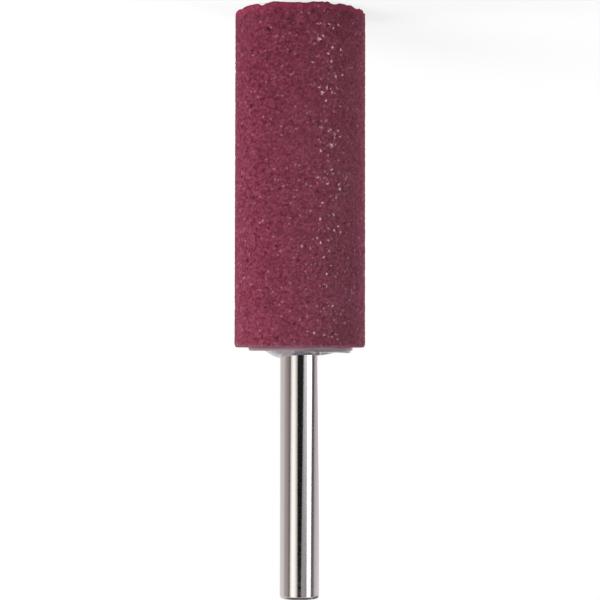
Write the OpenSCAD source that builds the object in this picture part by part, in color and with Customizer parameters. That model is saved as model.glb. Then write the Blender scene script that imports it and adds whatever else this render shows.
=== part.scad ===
// Cylindrical mounted point: a bonded abrasive cylinder cemented on a straight steel shank.
// It stands on the free end of the abrasive, with the shank pointing up along +Z.
// All sizes are in millimetres.

/* [Abrasive head] */
// Diameter of the abrasive cylinder
head_d = 20; // [16:0.5:32]
// Length of the abrasive cylinder
head_len = 51.4; // [40:0.1:63]
// Edge radius round the free end
nose_round = 0.3; // [0.1:0.05:0.8]
// Edge radius round the shank end
base_round = 0.45; // [0.1:0.05:0.8]
// Share of its full depth that each chip in the free end's rim has
chip_share = 1; // [0.5:0.05:1.4]
// Slope of the chips, which run out across the free end
chip_slope = 12; // [8:1:20]

/* [Shank] */
// Diameter of the ground shank
shank_d = 6; // [5:0.1:8]
// Length of shank that stands out of the head
shank_out = 38; // [25:0.1:60]
// Chamfer on the free end of the shank
end_chamfer = 0.35; // [0.1:0.05:0.8]

/* [Bonded root] */
// Length of shank inside the head
root_len = 25; // [15:0.5:32]
// How far the root is turned down below the shank, on the radius
root_relief = 0.2; // [0.1:0.05:0.4]
// Full-diameter length of shank that the cement covers
neck_cover = 0.1; // [0.05:0.05:0.3]
// Chamfer on the buried end of the root
root_chamfer = 0.5; // [0.2:0.1:1]
// Number of knurl grooves along the root
knurl_count = 16; // [8:1:20]
// Depth of the knurl grooves
knurl_depth = 0.25; // [0.1:0.05:0.4]
// Plain length of root between the knurl and the head's base
knurl_inset = 1.5; // [0.5:0.1:5]
// Number of ring grooves round the root
ring_count = 3; // [1:1:5]
// Depth of the ring grooves
ring_depth = 0.4; // [0.2:0.05:0.7]

/* [Cement] */
// Thickness of cement between the shank and the bore
cement_gap = 0.3; // [0.1:0.05:0.8]
// Thickness of cement below the buried end of the shank
end_gap = 1; // [0.5:0.1:3]
// Width of bare base that is left between the cement film and the head's side
film_inset = 2.1; // [1:0.1:2.5]
// Thickness of the cement film on the head's base
film_t = 0.5; // [0.4:0.05:1]
// Radius of the film's outer edge
film_round = 0.18; // [0.05:0.01:0.2]
// Width of the cement cone round the shank
cone_w = 2.2; // [1:0.1:3]
// Height of the cement cone above the film
cone_h = 0.7; // [0.3:0.05:2]
// Thickness of the cone's upper edge
cone_lip = 0.1; // [0.05:0.05:0.3]
// How far short of the axis the run of cement to one side starts
run_start = 2.5; // [0:0.1:5]
// Width of bare film that is left round the run of cement
run_inset = 0.3; // [0.25:0.05:1]
// Height of the run of cement above the film, where it is thickest
run_h = 0.3; // [0.2:0.02:0.4]

/* [Hidden] */
$fn = 96;

// Levels along the axis
end_z = head_len + shank_out;
root_z = head_len - root_len;
bore_z = root_z - end_gap;
film_z = head_len + film_t;
neck_z = film_z + cone_h - neck_cover;

head_r = head_d / 2;
shank_r = shank_d / 2;
root_r = shank_r - root_relief;
bore_r = shank_r + cement_gap;
film_r = head_r - film_inset;
run_r = film_r - run_inset;

// How far a cutting tool runs past the face that it opens
overrun = 1;

// Chips in the rim of the free end:
// [angle round the axis, half width, depth, angle by which it runs off the radius]
RIM_CHIPS = [
    [338, 1.0, 0.14, -40],
    [305, 0.55, 0.48, -36],
    [302, 1.0, 0.22, -15],
    [275, 3.8, 0.34, 0],
    [266, 1.6, 0.41, 0],
    [255, 2.2, 0.15, 0],
    [239, 0.9, 0.37, 31],
    [229, 1.8, 0.11, 0],
    [225, 0.4, 0.20, 45],
    [210, 0.75, 0.30, 50],
    [190, 0.8, 0.35, 40],
    [166, 1.6, 0.33, 10],
    [141, 0.7, 0.20, -20],
    [117, 1.0, 0.30, 15],
    [88, 2.2, 0.28, 0],
    [63, 0.8, 0.22, 25],
    [34, 1.3, 0.36, -15],
    [12, 0.9, 0.20, 20],
];

// Half section of a cylinder from z = 0 to z = h, with its upper rim rounded
module round_top_section(r, h, rim_round) {
    square([r - rim_round, h]);
    square([r, h - rim_round]);
    translate([r - rim_round, h - rim_round])
        circle(rim_round);
}

// Half section of the abrasive cylinder, with both rims rounded
module head_section() {
    intersection() {
        round_top_section(head_r, head_len, base_round);
        translate([0, head_len])
            mirror([0, 1])
                round_top_section(head_r, head_len, nose_round);
    }
}

// Sloping round cut that breaks one chip of the given half width and depth out of the free end's rim
module rim_chip(angle, half_width, depth, turn) {
    cut_r = (half_width * half_width + depth * depth) / (2 * depth);
    rotate([0, 0, angle])
        translate([head_r, 0, depth - cut_r / cos(chip_slope)])
            rotate([0, -90 - chip_slope, turn])
                cylinder(r = cut_r, h = head_r, center = true);
}

// Abrasive cylinder with its blind bore for the shank
module abrasive_head() {
    color("#8a3c50")
        difference() {
            rotate_extrude()
                head_section();
            translate([0, 0, bore_z])
                cylinder(r = bore_r, h = head_len - bore_z + overrun);
            for (chip = RIM_CHIPS)
                rim_chip(chip[0], chip[1], chip[2] * chip_share, chip[3]);
        }
}

// Turned blank of the shank, from its buried end to its free end
module shank_blank() {
    rotate_extrude()
        polygon([
            [0, root_z],
            [root_r - root_chamfer, root_z],
            [root_r, root_z + root_chamfer],
            [root_r, neck_z - root_relief],
            [shank_r, neck_z],
            [shank_r, end_z - end_chamfer],
            [shank_r - end_chamfer, end_z],
            [0, end_z],
        ]);
}

// Section of a right-angled groove that is cut to the given depth in a surface at x = 0
module v_groove(depth) {
    polygon([[-depth, 0], [depth, -2 * depth], [depth, 2 * depth]]);
}

// V grooves along the root, which keep the head from turning on the shank
module knurl_grooves() {
    groove_top = head_len - knurl_inset;
    for (i = [0 : knurl_count - 1])
        rotate([0, 0, i * 360 / knurl_count])
            translate([root_r, 0, root_z - overrun])
                linear_extrude(groove_top - root_z + overrun)
                    v_groove(knurl_depth);
}

// V grooves round the root, which keep the head from pulling off the shank
module ring_grooves() {
    spacing = root_len / (ring_count + 1);
    for (i = [1 : ring_count])
        rotate_extrude()
            translate([root_r, root_z + i * spacing])
                v_groove(ring_depth);
}

// Straight steel shank with its grooved root
module shank() {
    color("#d4d4d8")
        difference() {
            shank_blank();
            knurl_grooves();
            ring_grooves();
        }
}

// Wedge of cement that ran to one side of the head's base
module cement_run() {
    run_tilt = atan(run_h / (run_start + run_r));
    intersection() {
        translate([0, 0, head_len])
            cylinder(r = run_r, h = film_t + run_h);
        translate([run_start, 0, film_z])
            rotate([0, run_tilt, 0])
                translate([-head_d, -head_r, -film_t])
                    cube([head_d, head_d, film_t]);
    }
}

// Film, cone and run of cement on the base of the head
module cement_collar() {
    translate([0, 0, head_len])
        rotate_extrude()
            round_top_section(film_r, film_t, film_round);
    translate([0, 0, film_z])
        cylinder(r1 = shank_r + cone_w, r2 = shank_r + cone_lip, h = cone_h);
    cement_run();
}

// Cement that fills the bore round the shank and swells out on the head's base
module cement() {
    color("#b9b6ba")
        difference() {
            union() {
                translate([0, 0, bore_z])
                    cylinder(r = bore_r, h = film_z - bore_z);
                cement_collar();
            }
            shank();
        }
}

abrasive_head();
cement();
shank();
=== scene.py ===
"""Dressed model of a mounted point: an abrasive cylinder cemented on a ground steel shank.

The part stands on the free end of its head, with the shank pointing up along +Z. Meshes are worked out in
millimetres and stored in metres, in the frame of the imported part.
"""

from __future__ import annotations

import logging
import math
from collections.abc import Mapping
from dataclasses import dataclass, replace
from enum import Enum
from itertools import product

import bpy
import numpy as np
from bpy.types import ID, Material, Node, NodeSocket, NodeTree, Object
from mathutils import Matrix, Vector

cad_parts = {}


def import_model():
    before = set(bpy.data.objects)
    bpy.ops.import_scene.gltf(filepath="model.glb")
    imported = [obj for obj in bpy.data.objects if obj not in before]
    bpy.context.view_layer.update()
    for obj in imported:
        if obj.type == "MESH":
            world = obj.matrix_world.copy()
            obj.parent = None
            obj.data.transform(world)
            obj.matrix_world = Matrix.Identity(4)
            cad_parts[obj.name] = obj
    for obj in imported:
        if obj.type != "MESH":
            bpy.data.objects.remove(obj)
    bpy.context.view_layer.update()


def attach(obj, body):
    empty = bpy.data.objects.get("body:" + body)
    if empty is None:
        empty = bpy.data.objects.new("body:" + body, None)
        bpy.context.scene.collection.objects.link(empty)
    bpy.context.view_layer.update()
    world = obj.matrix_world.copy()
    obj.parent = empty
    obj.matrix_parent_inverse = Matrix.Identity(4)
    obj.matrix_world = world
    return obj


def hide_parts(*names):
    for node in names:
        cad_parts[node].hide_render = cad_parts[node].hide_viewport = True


LOG = logging.getLogger("mounted_point")
MM = 0.001
BODY = "root"

Colour = tuple[float, float, float]
Triple = tuple[float, float, float]
Span = tuple[float, float]
Settings = Mapping[str, object]
Sockets = Mapping[str | int, object]

WHITE: Colour = (1.0, 1.0, 1.0)
BLACK: Colour = (0.0, 0.0, 0.0)

# Sockets that a Mix node uses for colours
MIX_FACTOR = 0
MIX_FIRST = 6
MIX_SECOND = 7
MIX_RESULT = 2

# Middle of noise and of a random colour's channels
MIDDLE = 0.5

# Salts that tell the chances of a grain apart
JITTER_SALTS = (1, 2, 3)
LEAN_SALTS = (4, 5, 6)
STEP_SALT = 7
PORE_SALT = 8

# Factors and shifts of the whole-number mixing behind those chances
CELL_FACTORS = (73856093, 19349663, 83492791)
SALT_FACTOR = 2654435761
STIR_FACTOR = 1274126177
STIR_SHIFTS = (15, 13)
LAST_SHIFT = 16
WORD = 0xFFFFFFFF


def rgba(colour: Colour) -> tuple[float, float, float, float]:
    """Gives a colour its opaque alpha."""
    return (*colour, 1.0)


def bearing(azimuth: float) -> Vector:
    """Gives the level direction that lies at an angle from the camera's side of the part.

    Args:
        azimuth: Angle from the direction towards the camera, in degrees, positive to the picture's right.

    Returns:
        A unit vector in the part's frame.
    """
    angle = math.radians(azimuth)
    return Vector((-math.sin(angle), -math.cos(angle), 0.0))


def add_object(name: str, data: ID) -> Object:
    """Makes an object in the scene's collection.

    Args:
        name: Name of the object.
        data: Its mesh, light or camera.

    Returns:
        The new object.
    """
    thing = bpy.data.objects.new(name, data)
    bpy.context.scene.collection.objects.link(thing)
    return thing


class Value:
    """Output socket of a shader node that can be used in a Python expression."""

    def __init__(self, graph: Graph, socket: NodeSocket) -> None:
        """Keeps the socket and the graph that it belongs to."""
        self.graph = graph
        self.socket = socket

    def __add__(self, other: Value | float) -> Value:
        """Adds a value or a number."""
        return self.graph.math("ADD", self, other)

    def __radd__(self, other: float) -> Value:
        """Adds itself to a number."""
        return self.graph.math("ADD", other, self)

    def __sub__(self, other: Value | float) -> Value:
        """Takes a value or a number away."""
        return self.graph.math("SUBTRACT", self, other)

    def __rsub__(self, other: float) -> Value:
        """Takes itself away from a number."""
        return self.graph.math("SUBTRACT", other, self)

    def __mul__(self, other: Value | float) -> Value:
        """Multiplies by a value or a number."""
        return self.graph.math("MULTIPLY", self, other)

    def __rmul__(self, other: float) -> Value:
        """Multiplies a number by itself."""
        return self.graph.math("MULTIPLY", other, self)

    def above(self, level: float) -> Value:
        """Gives 1 where the value is above a level, and 0 elsewhere."""
        return self.graph.math("GREATER_THAN", self, level)


class Graph:
    """Node tree of a material or of the world."""

    def __init__(self, tree: NodeTree) -> None:
        """Empties the tree that the nodes go into."""
        self.tree = tree
        tree.nodes.clear()

    def node(self, kind: str, settings: Settings | None = None, sockets: Sockets | None = None) -> Node:
        """Adds one node.

        Args:
            kind: Type name of the node.
            settings: Properties of the node, set first.
            sockets: Values or links of its input sockets, by name or number.

        Returns:
            The new node.
        """
        node = self.tree.nodes.new(kind)
        for key, setting in (settings or {}).items():
            setattr(node, key, setting)
        for key, value in (sockets or {}).items():
            if isinstance(value, Value):
                self.tree.links.new(value.socket, node.inputs[key])
            else:
                node.inputs[key].default_value = value
        return node

    def value(self, node: Node, output: str | int = 0) -> Value:
        """Wraps one output of a node."""
        return Value(self, node.outputs[output])

    def math(self, operation: str, first: Value | float, second: Value | float) -> Value:
        """Adds a Math node for one operation on two values or numbers."""
        return self.value(self.node("ShaderNodeMath", {"operation": operation}, {0: first, 1: second}))

    def vector(self, operation: str, first: object, second: object = (0.0, 0.0, 0.0)) -> Value:
        """Adds a Vector Math node for one operation.

        Args:
            operation: Name of the operation.
            first: First vector.
            second: Second vector, or the factor when the operation scales.

        Returns:
            The resulting vector.
        """
        place = "Scale" if operation == "SCALE" else 1
        sockets = {0: first, place: second}
        return self.value(self.node("ShaderNodeVectorMath", {"operation": operation}, sockets))

    def length(self, vector: Value) -> Value:
        """Gives the length of a vector."""
        return self.value(self.node("ShaderNodeVectorMath", {"operation": "LENGTH"}, {0: vector}), "Value")

    def mix(self, factor: Value | float, first: Value | Colour, second: Value | Colour) -> Value:
        """Blends two colours.

        Args:
            factor: Share of the second colour.
            first: Colour at factor 0.
            second: Colour at factor 1.

        Returns:
            The blended colour.
        """
        ends = [end if isinstance(end, Value) else rgba(end) for end in (first, second)]
        sockets = {MIX_FACTOR: factor, MIX_FIRST: ends[0], MIX_SECOND: ends[1]}
        return self.value(self.node("ShaderNodeMix", {"data_type": "RGBA"}, sockets), MIX_RESULT)

    def spread(self, value: Value, source: Span, target: Span = (0.0, 1.0)) -> Value:
        """Maps a range of a value onto another range and clamps it there.

        Args:
            value: The value.
            source: Where the range starts and ends.
            target: Results at its start and at its end.

        Returns:
            The mapped value.
        """
        names = ("From Min", "From Max", "To Min", "To Max")
        sockets = {"Value": value, **dict(zip(names, (*source, *target)))}
        return self.value(self.node("ShaderNodeMapRange", {}, sockets))

    def place(self) -> Value:
        """Gives the place on the object, in its own coordinates."""
        return self.value(self.node("ShaderNodeTexCoord"), "Object")

    def attribute(self, name: str, output: str = "Fac") -> Value:
        """Reads a named attribute of the mesh."""
        return self.value(self.node("ShaderNodeAttribute", {"attribute_name": name}), output)

    def channels(self, colour: Value) -> list[Value]:
        """Splits a colour into its red, green and blue."""
        split = self.node("ShaderNodeSeparateColor", {}, {"Color": colour})
        return [self.value(split, channel) for channel in range(3)]

    def noise(self, vector: Value, scale: float, detail: float = 2.0) -> Value:
        """Gives smooth noise between 0 and 1 at a scale in cycles per metre."""
        sockets = {"Vector": vector, "Scale": scale, "Detail": detail}
        return self.value(self.node("ShaderNodeTexNoise", {}, sockets))

    def cells(self, vector: Value, size: float) -> Node:
        """Splits space into irregular cells of about a size in metres."""
        return self.node("ShaderNodeTexVoronoi", {}, {"Vector": vector, "Scale": 1 / size})

    def bump(
        self, height: Value, depth: float, normal: Value | None = None, strength: Value | float = 1.0
    ) -> Value:
        """Turns a height into a normal.

        Args:
            height: Height as a share of the depth.
            depth: Depth of the relief, in metres.
            normal: Normal that the relief is added to.
            strength: Share of the relief that shows.

        Returns:
            The new normal.
        """
        sockets: dict[str | int, object] = {"Height": height, "Distance": depth, "Strength": strength}
        if normal is not None:
            sockets["Normal"] = normal
        return self.value(self.node("ShaderNodeBump", {}, sockets))

    def seen(self) -> Value:
        """Tells rays that show a thing from rays that only light others.

        Returns:
            1 for rays of the camera, of reflections and through clear things, and 0 for the rest.
        """
        path = self.node("ShaderNodeLightPath")
        camera, glossy, through = (
            self.value(path, name) for name in ("Is Camera Ray", "Is Glossy Ray", "Is Transmission Ray")
        )
        return camera + glossy + through

    def surface(self, sockets: Sockets) -> None:
        """Ends a material in one Principled shader with the given sockets."""
        shader = self.node("ShaderNodeBsdfPrincipled", {}, sockets)
        self.node("ShaderNodeOutputMaterial", {}, {"Surface": self.value(shader)})


def new_material(name: str) -> tuple[Material, Graph]:
    """Makes an empty node material.

    Args:
        name: Name of the material.

    Returns:
        The material and the graph of its nodes.
    """
    material = bpy.data.materials.new(name)
    material.use_nodes = True
    return material, Graph(material.node_tree)


@dataclass(frozen=True)
class AbrasiveFinish:
    """Fired grit in its bond: crimson grains of many tones, pores and gaps darkened with painted shade, a
    painted highlight on the chipped rim, painted shade near the base, and a few bright crystal faces.

    Scales are in cycles per metre. A weight is the share of a colour that a mask lays over the others, and a
    range is where a mask starts and where it is full.
    """

    bond: Colour = (0.170, 0.017, 0.041)
    grain: Colour = (0.315, 0.064, 0.115)
    pale: Colour = (0.430, 0.150, 0.215)
    hollow_shade: Colour = (0.085, 0.013, 0.022)
    rim_highlight: Colour = (0.430, 0.045, 0.110)
    base_shade: Colour = (0.140, 0.070, 0.085)
    tone_gain: float = 0.78
    fine_gain: float = 0.97
    tone_shift: float = 0.415
    patch_weight: float = 0.25
    pale_weight: float = 0.70
    gap_weight: float = 0.40
    pit_weight: float = 0.50
    rim_highlight_weight: float = 0.68
    base_shade_weight: float = 0.55
    facing_range: Span = (0.60, 0.40)
    gap_range: Span = (0.42, 0.75)
    patch_range: Span = (0.35, 0.70)
    hollow_shade_range: Span = (0.35, 0.0)
    fine_scale: float = 4500.0
    fine_mm: float = 0.02
    patch_scale: float = 420.0
    facet_mm: float = 0.33
    facet_tilt: float = 0.42
    crystal_mm: float = 0.31
    crystal_tilt: float = 0.42
    crystal_flatness: float = 0.9
    pit_spacing_mm: float = 2.4
    pit_mm: float = 0.5
    pit_core: float = 0.3
    pit_share: float = 0.25
    pale_share: float = 0.02
    shiny_share: float = 0.085
    rough: float = 0.92
    shiny: float = 0.16
    specular: float = 0.25

    def material(self) -> Material:
        """Builds the material.

        Returns:
            The new material.
        """
        material, graph = new_material("vitrified_abrasive")
        place = graph.place()
        cells = graph.cells(place, self.facet_mm * MM)
        cell_colour = graph.value(cells, "Color")
        tone, rare, _ = graph.channels(cell_colour)
        crystal_colour = graph.value(graph.cells(place, self.crystal_mm * MM), "Color")
        _, _, polish = graph.channels(crystal_colour)
        facing = graph.value(graph.node("ShaderNodeLayerWeight"), "Facing")
        shiny = polish.above(1 - self.shiny_share) * graph.spread(facing, self.facing_range)
        gap = graph.spread(graph.value(cells, "Distance"), self.gap_range, (0.0, self.gap_weight))
        fine = graph.noise(place, self.fine_scale)
        patches = graph.noise(place, self.patch_scale)
        patch = graph.spread(patches, self.patch_range, (0.0, self.patch_weight))
        relief, broken, base_shade_mask = (graph.attribute(name) for name in ("relief", "broken", "base_shade_mask"))

        tones = tone * self.tone_gain + fine * self.fine_gain - self.tone_shift
        body = graph.mix(tones, self.bond, self.grain)
        body = graph.mix(patch, body, self.bond)
        body = graph.mix(rare.above(1 - self.pale_share) * self.pale_weight, body, self.pale)
        # Painted shade: the pores' dark colour goes into the gaps between grains, the deepest hollows of the
        # relief and the pits.
        body = graph.mix(gap, body, self.hollow_shade)
        body = graph.mix(graph.spread(relief, self.hollow_shade_range), body, self.hollow_shade)
        body = graph.mix(self.pits(graph, place) * self.pit_weight, body, self.hollow_shade)
        # Painted highlight: the chipped rim of the free end is made brighter crimson, as if it caught more
        # light.
        body = graph.mix(broken * self.rim_highlight_weight, body, self.rim_highlight)
        # Painted shade: the grit near the base, where the head meets the cement, is made darker and greyer.
        body = graph.mix(base_shade_mask * self.base_shade_weight, body, self.base_shade)

        facets = self.facets(graph, cell_colour, crystal_colour, shiny)
        graph.surface({
            "Base Color": body,
            "Roughness": self.rough - shiny * (self.rough - self.shiny),
            "Specular IOR Level": self.specular,
            "Normal": graph.bump(fine, self.fine_mm * MM, facets, 1 - shiny * self.crystal_flatness),
        })
        return material

    def pits(self, graph: Graph, place: Value) -> Value:
        """Gives a mask of the few larger pits, where grains fell out, which are darkened with painted shade.

        Args:
            graph: Graph of the material.
            place: Place on the object.

        Returns:
            1 in the middle of a pit and 0 away from it.
        """
        cells = graph.cells(place, self.pit_spacing_mm * MM)
        chance, _, _ = graph.channels(graph.value(cells, "Color"))
        reach = self.pit_mm / self.pit_spacing_mm
        hollow = graph.spread(graph.value(cells, "Distance"), (reach, self.pit_core * reach))
        return hollow * chance.above(1 - self.pit_share)

    def facets(self, graph: Graph, cell_colour: Value, crystal_colour: Value, shiny: Value) -> Value:
        """Tilts each grain and each crystal face its own way.

        Args:
            graph: Graph of the material.
            cell_colour: Random colour of each grain.
            crystal_colour: Random colour of each crystal face.
            shiny: 1 on the bright crystal faces and 0 elsewhere.

        Returns:
            The tilted normal.
        """
        grain = graph.vector("SUBTRACT", cell_colour, (MIDDLE, MIDDLE, MIDDLE))
        grain = graph.vector("SCALE", grain, self.facet_tilt)
        crystal = graph.vector("SUBTRACT", crystal_colour, (MIDDLE, MIDDLE, 1 - MIDDLE * self.shiny_share))
        crystal = graph.vector("SCALE", crystal, self.crystal_tilt)
        normal = graph.value(graph.node("ShaderNodeNewGeometry"), "Normal")
        return graph.vector("NORMALIZE", graph.vector("ADD", normal, graph.mix(shiny, grain, crystal)))


@dataclass(frozen=True)
class CementFinish:
    """Hardened cement: mauve where it took colour from the grit, paler grey where it ran thick.

    Scales, weights and ranges are as in the abrasive's finish, and far means to the picture's right.
    """

    film: Colour = (0.200, 0.105, 0.125)
    film_right_painted_light: Colour = (0.360, 0.250, 0.295)
    thick: Colour = (0.120, 0.118, 0.138)
    thick_far: Colour = (0.430, 0.420, 0.455)
    seam: Colour = (0.110, 0.085, 0.100)
    film_top_mm: float = 51.80
    thick_from_mm: float = 52.00
    wander_mm: float = 0.4
    side_mm: float = 6.0
    run_range: Span = (0.75, 1.0)
    mottle_scale: float = 1400.0
    mottle_detail: float = 3.0
    mottle_mm: float = 0.05
    mottle_range: Span = (0.45, 0.75)
    mottle_weight: float = 0.35
    layer_scale: float = 3400.0
    layer_stretch: Triple = (0.05, 0.05, 1.0)
    layer_range: Span = (0.40, 0.62)
    seam_weight: float = 0.45
    rough_range: Span = (0.2, 0.8)
    rough: Span = (0.18, 0.36)
    film_rough: float = 0.2
    coat_rough: float = 0.12

    def material(self) -> Material:
        """Builds the material.

        Returns:
            The new material.
        """
        material, graph = new_material("bonding_cement")
        place = graph.place()
        split = graph.node("ShaderNodeSeparateXYZ", {}, {"Vector": place})
        far = graph.spread(graph.value(split, "X"), (self.side_mm * MM, -self.side_mm * MM))
        run = graph.spread(far, self.run_range)
        mottle = graph.noise(place, self.mottle_scale, self.mottle_detail)
        layers = graph.noise(graph.vector("MULTIPLY", place, self.layer_stretch), self.layer_scale)
        level = graph.value(split, "Z") + (mottle - MIDDLE) * (self.wander_mm * MM)
        thick = graph.spread(level, (self.film_top_mm * MM, self.thick_from_mm * MM))
        # Painted light: the film turns paler towards the picture's right, to make up for the shade that
        # falls on that side.
        film = graph.mix(far, self.film, self.film_right_painted_light)
        body = graph.mix(thick, film, graph.mix(run, self.thick, self.thick_far))
        body = graph.mix(graph.spread(mottle, self.mottle_range, (0.0, self.mottle_weight)), body, film)
        body = graph.mix(graph.spread(layers, self.layer_range, (self.seam_weight, 0.0)), body, self.seam)
        roughness = graph.spread(mottle, self.rough_range, self.rough)
        graph.surface({
            "Base Color": body,
            "Roughness": roughness + (1 - thick) * self.film_rough,
            "Coat Weight": thick,
            "Coat Roughness": self.coat_rough,
            "Normal": graph.bump(mottle, self.mottle_mm * MM),
        })
        return material


@dataclass(frozen=True)
class SteelFinish:
    """Ground and polished steel with faint marks that run round it. Scales are in cycles per metre."""

    colour: Colour = (0.600, 0.560, 0.550)
    dull: Colour = (0.520, 0.480, 0.470)
    dull_weight: float = 0.5
    rough: Span = (0.06, 0.14)
    rough_range: Span = (0.3, 0.75)
    mark_scale: float = 16000.0
    mark_detail: float = 3.0
    mark_stretch: Triple = (0.02, 0.02, 1.0)
    mark_gain: float = 0.1
    wave_scale: float = 1100.0
    wave_stretch: Triple = (0.4, 0.4, 1.0)
    wave_mm: float = 0.007

    def material(self) -> Material:
        """Builds the material.

        Returns:
            The new material.
        """
        material, graph = new_material("ground_steel")
        place = graph.place()
        marked = graph.vector("MULTIPLY", place, self.mark_stretch)
        marks = graph.noise(marked, self.mark_scale, self.mark_detail)
        waves = graph.noise(graph.vector("MULTIPLY", place, self.wave_stretch), self.wave_scale)
        graph.surface({
            "Base Color": graph.mix(marks * self.dull_weight, self.colour, self.dull),
            "Metallic": 1.0,
            "Roughness": graph.spread(marks, self.rough_range, self.rough),
            "Normal": graph.bump(marks * self.mark_gain + waves, self.wave_mm * MM),
        })
        return material


def lattice_chance(cells: np.ndarray, salt: int) -> np.ndarray:
    """Gives each lattice cell its own fixed number between 0 and 1.

    Args:
        cells: Whole-number cell places, one row each.
        salt: Tells one set of numbers from another.

    Returns:
        One number per row.
    """
    mixed = np.bitwise_xor.reduce(cells.astype(np.int64) * np.array(CELL_FACTORS), axis=1)
    mixed = (mixed ^ (salt * SALT_FACTOR)) & WORD
    for shift in STIR_SHIFTS:
        mixed = ((mixed ^ (mixed >> shift)) * STIR_FACTOR) & WORD
    return (mixed ^ (mixed >> LAST_SHIFT)) / float(WORD)


@dataclass(frozen=True)
class Grit:
    """Packing of abrasive grains that gives a surface its relief, in millimetres."""

    pitch: float = 0.46
    dome: float = 0.05
    dome_reach: float = 0.6
    tilt: float = 0.16
    step: float = 0.035
    pore_share: float = 0.10
    pore_depth: float = 0.12

    @property
    def depth(self) -> float:
        """Gives the full depth of the relief."""
        return self.dome + self.step + self.pore_depth

    def heights(self, points: np.ndarray) -> np.ndarray:
        """Works out how far the grains stand above or below a smooth surface.

        Args:
            points: Points on the smooth surface, one row each.

        Returns:
            Height at each point, negative below the surface.
        """
        home = np.floor(points / self.pitch).astype(np.int64)
        nearest = np.full(len(points), np.inf)
        offset = np.zeros_like(points)
        owner = np.zeros_like(home)
        for step in product((-1, 0, 1), repeat=3):
            cells = home + np.array(step)
            jitter = np.stack([lattice_chance(cells, salt) for salt in JITTER_SALTS], axis=1)
            away = points - (cells + jitter) * self.pitch
            distance = np.einsum("ij,ij->i", away, away)
            closer = distance < nearest
            nearest[closer] = distance[closer]
            offset[closer] = away[closer]
            owner[closer] = cells[closer]
        lean = np.stack([lattice_chance(owner, salt) for salt in LEAN_SALTS], axis=1) * 2 - 1
        height = self.dome * (1 - nearest / (self.dome_reach * self.pitch) ** 2)
        height += self.tilt * np.einsum("ij,ij->i", lean, offset)
        height += self.step * (lattice_chance(owner, STEP_SALT) * 2 - 1)
        height -= self.pore_depth * (lattice_chance(owner, PORE_SALT) < self.pore_share)
        return height


def angles_round(columns: int) -> np.ndarray:
    """Gives evenly spaced angles once round the axis, in radians."""
    return np.linspace(0, 2 * np.pi, columns, endpoint=False)


def lathe_points(profile: np.ndarray, columns: int) -> np.ndarray:
    """Turns a profile round the axis.

    Args:
        profile: Radius and height of each row.
        columns: Number of columns round the axis.

    Returns:
        Points by row and column.
    """
    angle = angles_round(columns)
    radius = profile[:, :1]
    height = np.broadcast_to(profile[:, 1:], (len(profile), columns))
    return np.stack([radius * np.cos(angle), radius * np.sin(angle), height], axis=2)


def lathe_object(
    name: str, points: np.ndarray, start: float | None = None, end: float | None = None
) -> Object:
    """Makes a mesh object from rows of points that close round the axis.

    Args:
        name: Name of the object.
        points: Points by row and column, in millimetres.
        start: Height of the point on the axis that closes the first row.
        end: Height of the point on the axis that closes the last row.

    Returns:
        The new object.
    """
    rows, columns = points.shape[:2]
    index = np.arange(rows * columns).reshape(rows, columns)
    ahead = np.roll(index, -1, axis=1)
    vertices = points.reshape(-1, 3)
    faces = np.stack([index[:-1], ahead[:-1], ahead[1:], index[1:]], axis=2).reshape(-1, 4).tolist()
    for height, ring, onwards in ((start, ahead[0], index[0]), (end, index[-1], ahead[-1])):
        if height is not None:
            tip = len(vertices)
            vertices = np.append(vertices, [[0.0, 0.0, height]], axis=0)
            faces += [[tip, a, b] for a, b in zip(ring.tolist(), onwards.tolist())]
    mesh = bpy.data.meshes.new(name)
    mesh.from_pydata((vertices * MM).tolist(), [], faces)
    mesh.shade_smooth()
    return add_object(name, mesh)


def arc(centre: Span, radius: float, start: float, end: float, steps: int) -> np.ndarray:
    """Gives points on an arc of a profile.

    Args:
        centre: Radius and height of the arc's centre.
        radius: Radius of the arc.
        start: Angle of the first point, in degrees from outwards.
        end: Angle of the last point.
        steps: Number of points.

    Returns:
        Radius and height of each point.
    """
    angle = np.radians(np.linspace(start, end, steps))
    return np.stack([centre[0] + radius * np.cos(angle), centre[1] + radius * np.sin(angle)], axis=1)


def line(first: Span, last: Span, pitch: float) -> np.ndarray:
    """Gives evenly spaced points of a straight stretch of a profile, with both of its ends.

    Args:
        first: Radius and height of the first point.
        last: Radius and height of the last point.
        pitch: Largest distance between points.

    Returns:
        Radius and height of each point.
    """
    a, b = np.array(first), np.array(last)
    steps = max(1, math.ceil(float(np.linalg.norm(b - a)) / pitch))
    return a + (b - a) * np.linspace(0, 1, steps + 1)[:, None]


@dataclass(frozen=True)
class Chip:
    """Flake broken out of the rim of the head's free end, as a round cut that slopes out across the end."""

    angle: float
    half_width: float
    depth: float
    turn: float = 0.0
    slope: float = 12.0

    def lift(self, x: np.ndarray, y: np.ndarray, radius: float) -> np.ndarray:
        """Works out how far the flake takes the head's end back.

        Args:
            x: Places along the part's X axis.
            y: Places along the part's Y axis.
            radius: Radius of the head.

        Returns:
            Height of the flake's hollow above the end at each place, and 0 outside it.
        """
        cut = (self.half_width**2 + self.depth**2) / (2 * self.depth)
        angle, slope = math.radians(self.angle), math.radians(self.slope)
        way = angle + math.radians(self.turn)
        dx, dy = x - radius * math.cos(angle), y - radius * math.sin(angle)
        inwards = -(dx * math.cos(way) + dy * math.sin(way))
        across = np.abs(dy * math.cos(way) - dx * math.sin(way))
        roof = (np.sqrt(np.clip(cut**2 - across**2, 0, None)) - cut) / math.cos(slope)
        roof += self.depth - inwards * math.tan(slope)
        return np.where(across < cut, np.clip(roof, 0, None), 0.0)


class HeadPart(Enum):
    """Stretches of the head's outline, from the middle of its free end to the bottom of its bore."""

    NOSE = "nose"
    SIDE = "side"
    BASE = "base"
    BORE = "bore"


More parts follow.
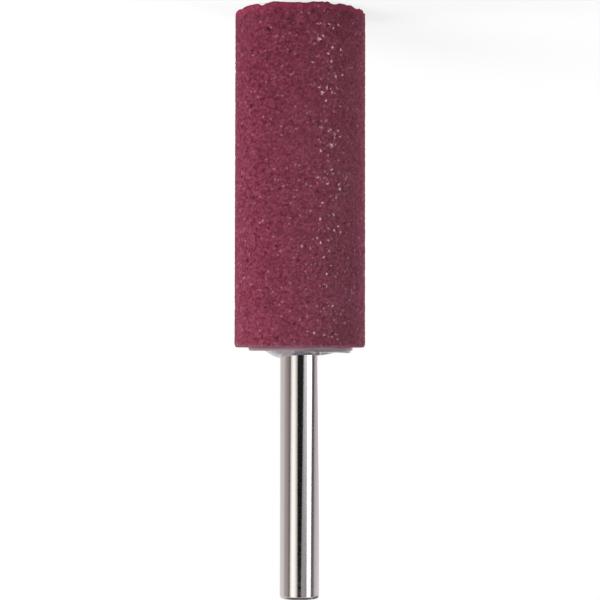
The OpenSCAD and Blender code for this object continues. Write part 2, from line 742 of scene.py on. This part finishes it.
@dataclass
class AbrasiveHead:
    """Abrasive cylinder with its granular skin, chipped rim and blind bore, in millimetres."""

    radius: float = 10.0
    length: float = 51.4
    nose_round: float = 0.3
    base_round: float = 0.45
    round_angles: Span = (22.5, 67.5)
    round_steps: int = 3
    bore_radius: float = 3.3
    bore_floor: float = 25.4
    bore_lip: float = 0.3
    hub: float = 0.25
    columns: int = 304
    nose_pitch: float = 0.26
    side_pitch: float = 0.207
    base_pitch: float = 0.28
    bore_pitch: float = 8.0
    nose_relief: float = 0.5
    chip_fade: float = 1.6
    broken_band: float = 1.4
    broken_width: float = 2.5
    broken_full: float = 0.7
    base_shade_band: float = 0.6
    grit: Grit = Grit()
    finish: AbrasiveFinish = AbrasiveFinish()
    chips: tuple[Chip, ...] = (
        Chip(338, 1.0, 0.14, -40),
        Chip(305, 0.55, 0.48, -36),
        Chip(302, 1.0, 0.22, -15),
        Chip(275, 3.8, 0.34),
        Chip(266, 1.6, 0.41),
        Chip(255, 2.2, 0.15),
        Chip(239, 0.9, 0.37, 31),
        Chip(229, 1.8, 0.11),
        Chip(225, 0.4, 0.20, 45),
        Chip(210, 0.75, 0.30, 50),
        Chip(190, 0.8, 0.35, 40),
        Chip(166, 1.6, 0.33, 10),
        Chip(141, 0.7, 0.20, -20),
        Chip(117, 1.0, 0.30, 15),
        Chip(88, 2.2, 0.28),
        Chip(63, 0.8, 0.22, 25),
        Chip(34, 1.3, 0.36, -15),
        Chip(12, 0.9, 0.20, 20),
    )

    def outline(self) -> tuple[np.ndarray, np.ndarray, list[HeadPart]]:
        """Works out the profile that is turned into the head.

        Returns:
            The profile's points, the outward normal at each, and the stretch that each belongs to.
        """
        r, n, b, bore = self.radius, self.nose_round, self.base_round, self.bore_radius
        first, last = self.round_angles
        nose_centre, base_centre = (r - n, n), (r - b, self.length - b)
        nose_arc = arc(nose_centre, n, -last, -first, self.round_steps)
        base_arc = arc(base_centre, b, first, last, self.round_steps)
        bore_ends = (bore, self.length - self.bore_lip), (bore, self.bore_floor)
        stretches = (
            (HeadPart.NOSE, line((self.hub, 0.0), (r - n, 0.0), self.nose_pitch), (0.0, -1.0)),
            (HeadPart.NOSE, nose_arc, (nose_arc - nose_centre) / n),
            (HeadPart.SIDE, line((r, n), (r, self.length - b), self.side_pitch), (1.0, 0.0)),
            (HeadPart.BASE, base_arc, (base_arc - base_centre) / b),
            (HeadPart.BASE, line((r - b, self.length), (bore, self.length), self.base_pitch), (0.0, 1.0)),
            (HeadPart.BORE, line(*bore_ends, self.bore_pitch), (-1.0, 0.0)),
        )
        points = np.concatenate([stretch for _, stretch, _ in stretches])
        normals = np.concatenate([np.broadcast_to(way, stretch.shape) for _, stretch, way in stretches])
        parts = [part for part, stretch, _ in stretches for _ in stretch]
        return points, normals, parts

    def broken(self, points: np.ndarray, lift: np.ndarray) -> np.ndarray:
        """Gives a mask of the chipped rim of the free end, which gets a painted highlight.

        Args:
            points: Points on the head, one row each.
            lift: How far the flakes take the end back at each point.

        Returns:
            1 on the rim and 0 away from it, one number per row.
        """
        band = np.clip(1 - (points[:, 2] - lift) / self.broken_band, 0, 1)
        inwards = self.radius - np.hypot(points[:, 0], points[:, 1])
        return band * (np.clip(1 - inwards / self.broken_width, 0, self.broken_full) / self.broken_full)

    def build(self) -> Object:
        """Makes the head's mesh.

        Returns:
            The new object.
        """
        profile, normals, parts = self.outline()
        smooth = lathe_points(profile, self.columns)
        facing = lathe_points(normals, self.columns).reshape(-1, 3)
        points = smooth.reshape(-1, 3).copy()
        lift = np.max([chip.lift(points[:, 0], points[:, 1], self.radius) for chip in self.chips], axis=0)
        squeeze = np.clip(1 - points[:, 2] / self.chip_fade, 0, None)
        points[:, 2] += lift * squeeze
        height = np.minimum(self.grit.heights(points) - self.grit.dome, 0.0)
        rough = np.repeat(np.array([part is not HeadPart.BORE for part in parts]), self.columns)
        height = np.where(rough, height, 0.0)
        height *= np.where(points[:, 2] - lift * squeeze < self.nose_round, self.nose_relief, 1.0)
        grained = points + facing * height[:, None]
        piece = lathe_object("dressed_head", grained.reshape(smooth.shape), 0.0, self.bore_floor)
        masks = {
            "relief": 1 + height / self.grit.depth,
            "broken": self.broken(points, lift),
            "base_shade_mask": np.clip(1 - (self.length - points[:, 2]) / self.base_shade_band, 0, 1),
        }
        for name, values in masks.items():
            layer = piece.data.attributes.new(name, "FLOAT", "POINT")
            # The two points on the axis come last, with full masks
            layer.data.foreach_set("value", np.append(values, (1.0, 1.0)).astype(np.float32))
        return piece

    def dress(self, piece: Object) -> None:
        """Gives the head its finish and puts it in the place of its solid.

        Args:
            piece: The head.
        """
        piece.data.materials.append(self.finish.material())
        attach(piece, BODY)
        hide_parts("abrasive_head")


@dataclass(frozen=True)
class Wave:
    """Wave round the axis that makes the cement uneven: its size in millimetres, and how often it rises."""

    size: float
    count: int
    phase: float = 0.0
    twist: float = 0.0

    def at(self, angle: np.ndarray, radius: np.ndarray | float = 0.0) -> np.ndarray:
        """Gives the wave's height at angles round the axis and distances from it."""
        return self.size * np.sin(self.count * angle + self.twist * radius + self.phase)


@dataclass
class CementCollar:
    """Cement that swelled out over the head's base and hardened there, in millimetres.

    It climbs the shank by its own height on each side. A cone spreads from the shank to the picture's left
    and right, each given as a sign, a cosine at which it starts and the width over which it comes in.
    Elsewhere only a fillet goes round the shank. A pool slopes up to the right.
    """

    base: float = 51.4
    shank_radius: float = 3.0
    bore_radius: float = 3.3
    bore_floor: float = 25.4
    film_radius: float = 7.9
    film: float = 0.5
    climb: float = 0.68
    climb_left: float = 0.255
    climb_front: float = 0.035
    climb_sides: float = 0.155
    cone_width: float = 2.5
    cone_power: float = 1.5
    cone_sides: tuple[Triple, ...] = ((1, 0.12, 0.18), (-1, 0.45, 0.30))
    fillet: float = 0.38
    pool_start: float = 2.5
    pool_slope: float = 0.033
    ripples: tuple[Wave, ...] = (Wave(0.02, 3, twist=2.1), Wave(0.015, 7, twist=-1.3))
    edge_waves: tuple[Wave, ...] = (Wave(0.07, 2, 0.5), Wave(0.05, 5, 1.0))
    edge_inset: float = 0.12
    edge_shift: float = 0.15
    edge_foot: float = 0.03
    edge_steps: tuple[Span, ...] = ((1.0, 0.38), (0.994, 0.68), (0.981, 0.88), (0.963, 1.0))
    slope_start: float = 0.955
    slope_power: float = 1.5
    slope_rows: int = 40
    columns: int = 240
    finish: CementFinish = CementFinish()

    def swell(self, x: np.ndarray, y: np.ndarray) -> np.ndarray:
        """Works out how high the cement stands above the head's base.

        Args:
            x: Places along the part's X axis.
            y: Places along the part's Y axis.

        Returns:
            Height at each place.
        """
        radius, angle = np.hypot(x, y), np.arctan2(y, x)
        climb = self.climb + self.climb_left * np.cos(angle) - self.climb_front * np.sin(angle)
        climb += self.climb_sides * np.cos(2 * angle)
        away = np.clip(radius - self.shank_radius, 0, None)
        cone = 1 - np.clip(away / self.cone_width, 0, 1) ** self.cone_power
        fillet = np.exp(-away / self.fillet)
        coned = sum(
            np.clip((sign * np.cos(angle) - start) / width, 0, 1) for sign, start, width in self.cone_sides
        )
        pool = self.pool_slope * np.clip(self.pool_start - x, 0, None)
        ripple = sum(wave.at(angle, radius) for wave in self.ripples)
        return self.film + climb * (fillet + (cone - fillet) * coned) + pool + ripple

    def ring(self, radius: np.ndarray, rise: float = 1.0) -> np.ndarray:
        """Works out one ring of points on the cement's upper side.

        Args:
            radius: Radius of the ring at each of its points.
            rise: Share of the cement's height that the ring lies at.

        Returns:
            The ring's points, one row each.
        """
        angle = angles_round(self.columns)
        x, y = radius * np.cos(angle), radius * np.sin(angle)
        return np.stack([x, y, self.base + self.swell(x, y) * rise], axis=1)

    def build(self) -> Object:
        """Makes the cement's mesh.

        Returns:
            The new object.
        """
        angle = angles_round(self.columns)
        edge = self.film_radius - self.edge_inset + sum(wave.at(angle) for wave in self.edge_waves)
        edge = edge + self.edge_shift * (1 - np.cos(angle))
        plug = np.full_like(angle, self.bore_radius)
        foot = self.base + self.edge_foot
        rows = []
        for radius, height in ((plug, self.bore_floor), (plug, self.base), (edge, self.base), (edge, foot)):
            level = np.full_like(angle, height)
            rows.append(np.stack([radius * np.cos(angle), radius * np.sin(angle), level], axis=1))
        rows += [self.ring(share * edge, rise) for share, rise in self.edge_steps]
        shares = np.linspace(self.slope_start, 0.0, self.slope_rows) ** self.slope_power
        rows += [self.ring(self.shank_radius + (edge - self.shank_radius) * share) for share in shares]
        return lathe_object("dressed_cement", np.stack(rows), self.bore_floor)

    def dress(self, piece: Object) -> None:
        """Gives the cement its finish and puts it in the place of its solid.

        Args:
            piece: The cement.
        """
        piece.data.materials.append(self.finish.material())
        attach(piece, BODY)
        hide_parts("cement")


@dataclass
class SteelShank:
    """Ground shank with its chamfered end and grooved root, in millimetres."""

    radius: float = 3.0
    end: float = 89.4
    chamfer: float = 0.35
    chamfer_width: float = 0.13
    soft: float = 0.06
    soft_width: float = 0.036
    root: float = 26.4
    root_relief: float = 0.2
    root_chamfer: float = 0.5
    neck: float = 51.9
    knurl_count: int = 16
    knurl_depth: float = 0.25
    knurl_share: float = 0.5
    knurl_top: float = 49.9
    hub: float = 0.3
    columns: int = 192
    root_pitch: float = 1.0
    body_pitch: float = 1.5
    chamfer_pitch: float = 0.2
    end_pitch: float = 0.4
    finish: SteelFinish = SteelFinish()

    def outline(self) -> np.ndarray:
        """Works out the profile that is turned into the shank.

        Returns:
            Radius and height of each point, from the root to the free end.
        """
        r, soft = self.radius, self.soft
        inner, rim = r - self.root_relief, r - self.chamfer_width
        chamfer_foot, root_foot = self.end - self.chamfer, self.root + self.root_chamfer
        stretches = (
            ((inner - self.root_chamfer, self.root), (inner, root_foot), self.root_pitch),
            ((inner, root_foot + self.root_chamfer), (inner, self.neck - self.root_relief), self.root_pitch),
            ((r, self.neck), (r, self.neck + soft), self.root_pitch),
            ((r, self.neck + 2 * soft), (r, chamfer_foot - 2 * soft), self.body_pitch),
            ((r, chamfer_foot - soft), (r, chamfer_foot), self.root_pitch),
            ((r - self.soft_width, chamfer_foot + soft), (rim, self.end), self.chamfer_pitch),
            ((rim - soft, self.end), (self.hub, self.end), self.end_pitch),
        )
        return np.concatenate([line(*stretch) for stretch in stretches])

    def build(self) -> Object:
        """Makes the shank's mesh.

        Returns:
            The new object.
        """
        profile = self.outline()
        points = lathe_points(profile, self.columns)
        turn = angles_round(self.columns) * self.knurl_count / (2 * np.pi)
        wave = np.abs(turn % 1.0 - 0.5) * 2
        cut = self.knurl_depth * np.clip(1 - wave / self.knurl_share, 0, 1)
        grooved = profile[:, 1:] < self.knurl_top
        scale = np.where(grooved, 1 - cut / profile[:, :1], 1.0)
        points[:, :, :2] *= scale[:, :, None]
        return lathe_object("dressed_shank", points, self.root, self.end)

    def dress(self, piece: Object) -> None:
        """Gives the shank its finish and puts it in the place of its solid.

        Args:
            piece: The shank.
        """
        piece.data.materials.append(self.finish.material())
        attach(piece, BODY)
        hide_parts("shank")


def reflected_only(
    name: str, vertices: list[Triple], faces: list[tuple[int, ...]], glow: np.ndarray
) -> None:
    """Makes a glowing studio surface that only reflections show.

    Args:
        name: Name of the object.
        vertices: Corner points, in metres.
        faces: Corner numbers of each face.
        glow: Colour at each corner point.
    """
    mesh = bpy.data.meshes.new(name)
    mesh.from_pydata(vertices, [], faces)
    layer = mesh.color_attributes.new("glow", "FLOAT_COLOR", "POINT")
    layer.data.foreach_set("color", np.column_stack([glow, np.ones(len(glow))]).astype(np.float32).ravel())
    card = add_object(name, mesh)
    material, graph = new_material(name)
    colour = graph.attribute("glow", "Color")
    light = graph.node("ShaderNodeEmission", {}, {"Color": colour, "Strength": 1.0})
    graph.node("ShaderNodeOutputMaterial", {}, {"Surface": graph.value(light)})
    mesh.materials.append(material)
    card.visible_camera = False
    card.visible_diffuse = False
    card.visible_shadow = False
    card.visible_transmission = False


@dataclass(frozen=True)
class Card:
    """Studio card. Its sides are bearings at its foot and top, and its tones run from left to right.

    Without tones of its own, the top has those of the foot. A card that runs on has a strip before its foot.
    """

    name: str
    foot: Span
    top: Span
    foot_tones: tuple[float, ...]
    top_tones: tuple[float, ...] | None = None
    tint: Colour = WHITE
    distance: float = 0.6
    low: float = -4.7
    high: float = 13.6
    foot_distance: float | None = None
    runs_on: bool = True
    strip_near: float = 0.03
    strip_rise: float = 0.001
    columns: int = 32

    def along_floor(self, eye: float) -> Card:
        """Gives the strip that carries the card's foot on along the floor, nearly up to the part.

        Args:
            eye: Height that its elevations are measured from, in metres.

        Returns:
            The strip.
        """
        return replace(
            self,
            name=f"{self.name}_floor",
            top=self.foot,
            top_tones=None,
            low=math.degrees(math.atan((self.strip_rise - eye) / self.strip_near)),
            high=self.low,
            foot_distance=self.strip_near,
        )

    def build(self, eye: float) -> None:
        """Makes the card.

        Args:
            eye: Height that its elevations are measured from, in metres.
        """
        count = self.columns + 1
        shares = np.linspace(0, 1, count)
        vertices, glow = [], []
        ends = (
            (self.foot, self.low, self.foot_tones, self.foot_distance or self.distance),
            (self.top, self.high, self.top_tones or self.foot_tones, self.distance),
        )
        for (left, right), elevation, tones, distance in ends:
            height = eye + distance * math.tan(math.radians(elevation))
            for share in shares:
                spot = bearing(left + (right - left) * share) * distance
                vertices.append((spot.x, spot.y, height))
            levels = np.interp(shares, np.linspace(0, 1, len(tones)), tones)
            glow.append(levels[:, None] * np.array(self.tint))
        faces = [(i, i + 1, i + count + 1, i + count) for i in range(self.columns)]
        reflected_only(self.name, vertices, faces, np.concatenate(glow))


@dataclass(frozen=True)
class Canopy:
    """Dark ring over the part, which makes the shank's chamfer read dark round its paler end face."""

    rise: float = 0.5
    columns: int = 36
    rings: tuple[Span, ...] = ((0.001, 0.60), (0.11, 0.60), (0.13, 0.05), (0.62, 0.28))

    def build(self, eye: float) -> None:
        """Makes the canopy from rings of a radius and a tone.

        Args:
            eye: Height that its rise is measured from, in metres.
        """
        vertices, glow, faces = [], [], []
        for ring, (radius, tone) in enumerate(self.rings):
            for i in range(self.columns):
                spot = bearing(i * 360 / self.columns) * radius
                vertices.append((spot.x, spot.y, eye + self.rise))
                glow.append((tone, tone, tone))
                if ring:
                    a, b = ring * self.columns + i, ring * self.columns + (i + 1) % self.columns
                    faces.append((a, b, b - self.columns, a - self.columns))
        reflected_only("canopy", vertices, faces, np.array(glow))


@dataclass(frozen=True)
class Lamp:
    """Soft lamp that lights the part and stays out of its reflections."""

    name: str
    azimuth: float
    elevation: float
    distance: float
    size: float
    power: float
    colour: Colour = WHITE

    def build(self, target: Vector) -> None:
        """Makes the lamp.

        Args:
            target: Point that it shines at, in metres.
        """
        light = bpy.data.lights.new(self.name, "AREA")
        light.shape = "DISK"
        light.size = self.size
        light.energy = self.power
        light.color = self.colour
        lamp = add_object(self.name, light)
        level = math.cos(math.radians(self.elevation))
        rise = Vector((0.0, 0.0, math.sin(math.radians(self.elevation))))
        lamp.location = target + (bearing(self.azimuth) * level + rise) * self.distance
        lamp.rotation_euler = (target - lamp.location).to_track_quat("-Z", "Y").to_euler()
        lamp.visible_glossy = False


@dataclass
class Studio:
    """Pale floor, white surroundings, lamps, reflection cards and the camera, in metres."""

    eye: float = 0.0525
    aim: float = 0.04412
    side: float = -0.00002
    distance: float = 0.253
    sensor: float = 36.0
    lens: float = 99.2
    roll: float = 180.10
    ambient: float = 0.345
    floor_half: float = 2.0
    floor_level: float = -0.00002
    floor_tone: float = 0.40
    floor_shown: float = 0.18
    floor_rough: float = 0.9
    floor_lift: Span = (0.75, 0.97)
    lift_reach: Span = (0.08, 0.55)
    under_lift: float = 0.05
    under_edge: Span = (0.0098, 0.0101)
    cards: tuple[Card, ...] = (
        Card(
            "card_mauve", (-104, -51), (-104, -59),
            (0.92, 0.78, 0.57, 0.44, 0.385, 0.25, 0.20), (0.80, 0.61, 0.57, 0.58, 0.47, 0.27, 0.22),
            tint=(1.0, 0.90, 0.89),
        ),
        Card("card_edge_left", (-175, -104), (-175, -104), (1.0, 0.82, 0.78), (1.0, 1.0, 1.0)),
        Card(
            "card_bright_left", (-48.5, -14), (-58, -13),
            (0.7, 1.2, 1.6, 1.66, 1.55, 1.25, 0.85, 0.35), (0.9, 1.5, 1.8, 1.85, 1.8, 1.5, 1.05, 0.6),
            tint=(1.0, 1.0, 0.96),
        ),
        Card(
            "card_grey", (-13, 46.5), (-13, 42.5),
            (0.05, 0.05, 0.40, 1.2, 1.6), (0.30, 0.33, 0.50, 0.36, 0.20), tint=(0.95, 0.98, 1.02),
        ),
        Card(
            "card_dark_front", (-14, 29.5), (-9.0, 6.5),
            (0.03, 0.03), (0.0, 0.0), tint=(0.9, 1.0, 1.05), distance=0.58,
        ),
        Card("card_bright_right", (46.5, 81), (42.5, 67), (2.2, 2.2)),
        Card("card_dark_right", (81, 95), (67, 91), (0.08, 0.09), (0.22, 0.24), tint=(1.0, 0.95, 0.98)),
        Card(
            "card_lilac", (95, 104), (91, 215),
            (0.3, 1.1), (0.70, 1.03, 1.0, 0.84, 0.72), tint=(1.0, 0.93, 0.99),
        ),
        Card("card_dark_back", (95, 178), (95, 178), (0.25, 0.25), low=15.0, high=39.0, runs_on=False),
        Card(
            "card_edge_right", (95, 175), (95, 175),
            (1.1, 1.9, 1.9), distance=0.62, low=0.0, runs_on=False,
        ),
        Card(
            "card_spark", (20, 56), (30, 66),
            (4.0, 6.0, 11.0, 23.0, 11.0, 6.0, 4.0), tint=(1.04, 0.96, 1.0),
            distance=0.12, low=-66.6, high=-3.2, foot_distance=0.022, runs_on=False,
        ),
    )
    canopy: Canopy = Canopy()
    lamps: tuple[Lamp, ...] = (
        Lamp("key_left", -110, 34, 0.35, 0.20, 0.86),
        Lamp("fill_left", -42, 48, 0.28, 0.15, 0.62),
        Lamp("edge_right", 140, 24, 0.40, 0.15, 0.98),
        Lamp("fill_right", 50, 40, 0.20, 0.12, 0.03, (0.55, 1.0, 1.15)),
    )

    def build(self) -> None:
        """Makes the surroundings and the camera."""
        self.surround()
        self.lay_floor()
        strips = [card.along_floor(self.eye) for card in self.cards if card.runs_on]
        for card in (*self.cards, *strips, self.canopy):
            card.build(self.eye)
        for lamp in self.lamps:
            lamp.build(Vector((0.0, 0.0, self.aim)))
        self.place_camera()

    def surround(self) -> None:
        """Makes the world white to the camera and to reflections, and dimmer as a light."""
        world = bpy.data.worlds.new("studio")
        bpy.context.scene.world = world
        world.use_nodes = True
        graph = Graph(world.node_tree)
        dim, white = (
            graph.value(graph.node("ShaderNodeBackground", {}, {"Color": rgba(WHITE), "Strength": strength}))
            for strength in (self.ambient, 1.0)
        )
        both = graph.node("ShaderNodeMixShader", {}, {0: graph.seen(), 1: dim, 2: white})
        graph.node("ShaderNodeOutputWorld", {}, {"Surface": graph.value(both)})

    def lay_floor(self) -> None:
        """Lays a pale floor that keeps the part's shadow."""
        half, level = self.floor_half, self.floor_level
        corners = [(x, y, level) for x, y in ((-half, -half), (half, -half), (half, half), (-half, half))]
        mesh = bpy.data.meshes.new("floor")
        mesh.from_pydata(corners, [], [(0, 1, 2, 3)])
        floor = add_object("floor", mesh)
        material, graph = new_material("pale_floor")
        tones = ((tone, tone, tone) for tone in (self.floor_tone, self.floor_shown))
        seen = graph.seen()
        away = graph.length(graph.place())
        # Painted light: the floor glows brighter right under the head, so the chipped rim shows pale floor
        # where its contact shadow would be.
        under = graph.spread(away, self.under_edge, (self.under_lift, 0.0))
        lift = under + graph.spread(away, self.lift_reach, self.floor_lift)
        graph.surface({
            "Base Color": graph.mix(seen, *tones),
            "Roughness": self.floor_rough,
            "Specular IOR Level": 0.0,
            "Emission Color": graph.mix(seen * lift, BLACK, WHITE),
            "Emission Strength": 1.0,
        })
        mesh.materials.append(material)

    def place_camera(self) -> None:
        """Puts the camera level with the head's base, turned over so that the head is up in the picture."""
        data = bpy.data.cameras.new("camera")
        data.sensor_width = self.sensor
        data.lens = self.lens
        camera = add_object("camera", data)
        spot = Vector((self.side, -self.distance, self.eye))
        ahead = (Vector((self.side, 0.0, self.aim)) - spot).normalized()
        upright = ahead.to_track_quat("-Z", "Y").to_matrix().to_4x4()
        turned = Matrix.Rotation(math.radians(self.roll), 4, "Z")
        camera.matrix_world = Matrix.Translation(spot) @ upright @ turned
        bpy.context.scene.camera = camera


def main() -> None:
    """Builds the pieces and the studio."""
    logging.basicConfig(level=logging.INFO, format="%(name)s: %(message)s")
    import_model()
    bpy.context.scene.view_settings.view_transform = "Standard"
    for maker in (AbrasiveHead(), CementCollar(), SteelShank()):
        piece = maker.build()
        maker.dress(piece)
        LOG.info("%s has %d faces", piece.name, len(piece.data.polygons))
    Studio().build()
    LOG.info("studio and camera are in place")


if __name__ == "__main__":
    main()
